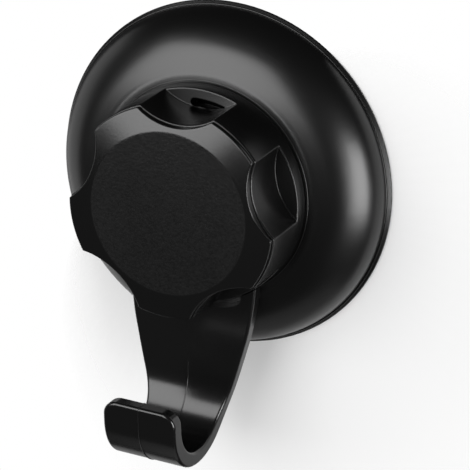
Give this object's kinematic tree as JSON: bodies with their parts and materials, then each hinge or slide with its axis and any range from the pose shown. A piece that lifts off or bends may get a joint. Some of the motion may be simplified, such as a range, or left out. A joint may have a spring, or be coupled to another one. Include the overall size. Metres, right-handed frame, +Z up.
{
  "type": "suction cup hook",
  "caption": "Wall hook held by a soft suction pad under a domed cover; turning the scalloped knob draws the pad's stud out and grips the wall.",
  "frame": {"origin": "middle of the suction pad's back face, in the plane of the wall", "axes": "+Y into the wall along the knob's axis, -Y out towards the user, +Z up, hook arm towards -Z"},
  "size_m": [0.085, 0.0432, 0.1054],
  "materials": {
    "pad_rubber": "soft black, slightly glossy",
    "steel": "zinc plated",
    "cover_plastic": "satin black",
    "hook_plastic": "gloss black",
    "washer_plastic": "natural white",
    "knob_plastic": "satin black",
    "brass": "turned",
    "cap_plastic": "satin black with a fine-grained round face"
  },
  "bodies": {
    "cover": {"dome_cover": "cover_plastic", "suction_pad": "pad_rubber", "hook": "hook_plastic", "slip_washer": "washer_plastic"},
    "knob": {"knob_body": "knob_plastic", "knob_cap": "cap_plastic", "lock_nut": "brass"},
    "stud": {"pull_stud": "steel"}
  },
  "joints": [
    {"name": "knob_turn", "type": "hinge", "parent": "cover", "child": "knob", "pos_m": [0, -0.02, 0], "axis": [0, 1, 0], "range_deg": [0, 324]},
    {"name": "stud_draw", "type": "slide", "parent": "cover", "child": "stud", "axis": [0, -1, 0], "range_m": [0, 0.00225], "deforming": ["suction_pad"]}
  ],
  "couplings": [
    {"joint": "stud_draw", "follows": "knob_turn", "m_per_rad": 0.00039788}
  ]
}
